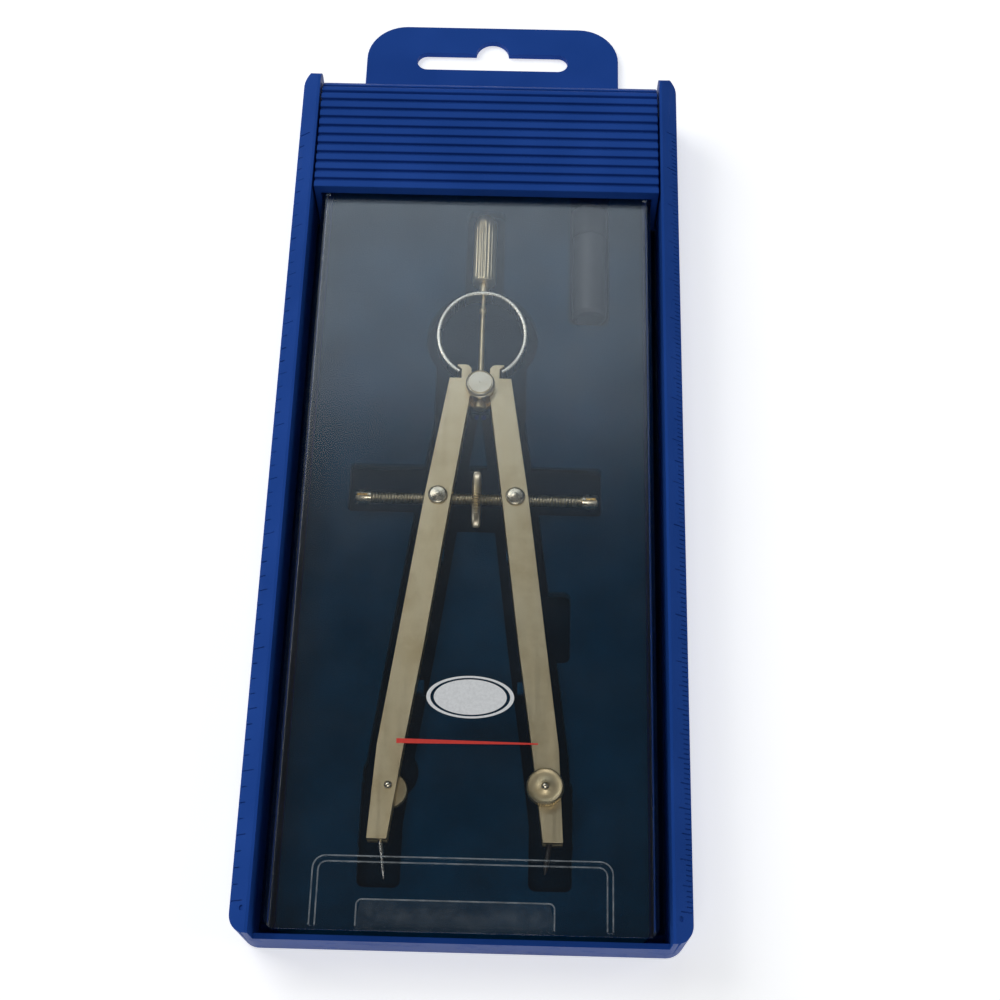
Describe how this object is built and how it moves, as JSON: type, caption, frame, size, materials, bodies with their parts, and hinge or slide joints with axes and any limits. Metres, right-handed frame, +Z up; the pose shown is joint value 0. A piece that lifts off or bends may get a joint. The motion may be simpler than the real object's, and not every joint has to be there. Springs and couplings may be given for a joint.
{
  "type": "drafting compass set",
  "caption": "Centre-wheel bow compass with a spare-lead tube in a flat ruler-edged case with a sliding clear lid and a hang tab.",
  "frame": {"origin": "middle of the case's underside, hang tab included", "axes": "+Y towards the hang tab, +Z up out of the case, +X to the right with the hang tab away from the viewer"},
  "size_m": [0.089, 0.2296, 0.0192],
  "materials": {
    "blue_plastic": "satin moulded",
    "navy_flock": "flocked",
    "clear_plastic": "clear, glossy",
    "clear_label": "clear film",
    "print_white": "printed ink",
    "print_red": "printed ink",
    "satin_nickel": "satin nickel plate",
    "bright_nickel": "polished nickel plate",
    "thread_steel": "rolled thread",
    "spring_steel": "polished spring strip",
    "dark_plastic": "matt moulded",
    "graphite": "graphite",
    "needle_steel": "ground steel"
  },
  "bodies": {
    "case": {"tray": "blue_plastic", "insert": "navy_flock", "handle": "satin_nickel", "centre_rod": "bright_nickel", "pivot_pin": "satin_nickel", "pivot_knob": "bright_nickel", "spring_ring": "spring_steel", "lead_tube": "dark_plastic", "spare_leads": "graphite"},
    "lid": {"slider_head": "blue_plastic", "window": "clear_plastic", "seal_label": "clear_label", "emblem_print": "print_white", "stripe_print": "print_red"},
    "left_leg": {"left_leg": "satin_nickel", "needle_screw": "bright_nickel"},
    "right_leg": {"right_leg": "satin_nickel", "lead_screw": "bright_nickel"},
    "left_trunnion": {"left_trunnion": "bright_nickel"},
    "right_trunnion": {"right_trunnion": "bright_nickel"},
    "spindle": {"spindle_rod": "thread_steel", "left_rod_cap": "bright_nickel", "right_rod_cap": "bright_nickel"},
    "wheel": {"centre_wheel": "satin_nickel"},
    "needle_point": {"needle": "needle_steel"},
    "lead_point": {"lead": "graphite"},
    "needle_clamp_nut": {"needle_nut": "satin_nickel"},
    "lead_clamp_nut": {"lead_nut": "satin_nickel"},
    "container_cap": {"tube_cap": "dark_plastic"}
  },
  "joints": [
    {"name": "lid_slide", "type": "slide", "parent": "case", "child": "lid", "axis": [0, 1, 0], "range_m": [0, 0.19]},
    {"name": "left_leg_swing", "type": "hinge", "parent": "case", "child": "left_leg", "pos_m": [0, 0.0068, 0.0088], "axis": [0, 0, -1], "range_deg": [-8, 10]},
    {"name": "right_leg_swing", "type": "hinge", "parent": "case", "child": "right_leg", "pos_m": [0, 0.0068, 0.0088], "axis": [0, 0, 1], "range_deg": [-8, 10], "deforming": ["spring_ring"]},
    {"name": "left_trunnion_turn", "type": "hinge", "parent": "left_leg", "child": "left_trunnion", "pos_m": [-0.0084, -0.0198, 0.0088], "axis": [0, 0, 1], "range_deg": [-8, 10]},
    {"name": "right_trunnion_turn", "type": "hinge", "parent": "right_leg", "child": "right_trunnion", "pos_m": [0.0084, -0.0198, 0.0088], "axis": [0, 0, -1], "range_deg": [-8, 10]},
    {"name": "spindle_travel", "type": "slide", "parent": "left_trunnion", "child": "spindle", "axis": [1, 0, 0], "range_m": [-0.0037, 0.0046]},
    {"name": "wheel_turn", "type": "hinge", "parent": "spindle", "child": "wheel", "pos_m": [0, -0.0198, 0.0088], "axis": [1, 0, 0], "range_deg": [-1910, 2370]},
    {"name": "needle_slide", "type": "slide", "parent": "left_leg", "child": "needle_point", "axis": [0.1392, -0.9903, 0], "range_m": [0, 0.004]},
    {"name": "lead_slide", "type": "slide", "parent": "right_leg", "child": "lead_point", "axis": [-0.1392, -0.9903, 0], "range_m": [0, 0.004]},
    {"name": "needle_nut_turn", "type": "hinge", "parent": "left_leg", "child": "needle_clamp_nut", "pos_m": [-0.0158, -0.0838, 0.0088], "axis": [0, 0, -1], "range_deg": [-270, 0]},
    {"name": "lead_nut_turn", "type": "hinge", "parent": "right_leg", "child": "lead_clamp_nut", "pos_m": [0.0158, -0.0838, 0.0088], "axis": [0, 0, 1], "range_deg": [-270, 0]},
    {"name": "tube_cap_slide", "type": "slide", "parent": "case", "child": "container_cap", "axis": [0, 1, 0], "range_m": [0, 0.012]}
  ],
  "couplings": [
    {"joint": "left_leg_swing", "follows": "spindle_travel", "rad_per_m": 37.594},
    {"joint": "right_leg_swing", "follows": "spindle_travel", "rad_per_m": 37.594},
    {"joint": "left_trunnion_turn", "follows": "spindle_travel", "rad_per_m": 37.594},
    {"joint": "right_trunnion_turn", "follows": "spindle_travel", "rad_per_m": 37.594},
    {"joint": "wheel_turn", "follows": "spindle_travel", "rad_per_m": 8976}
  ]
}
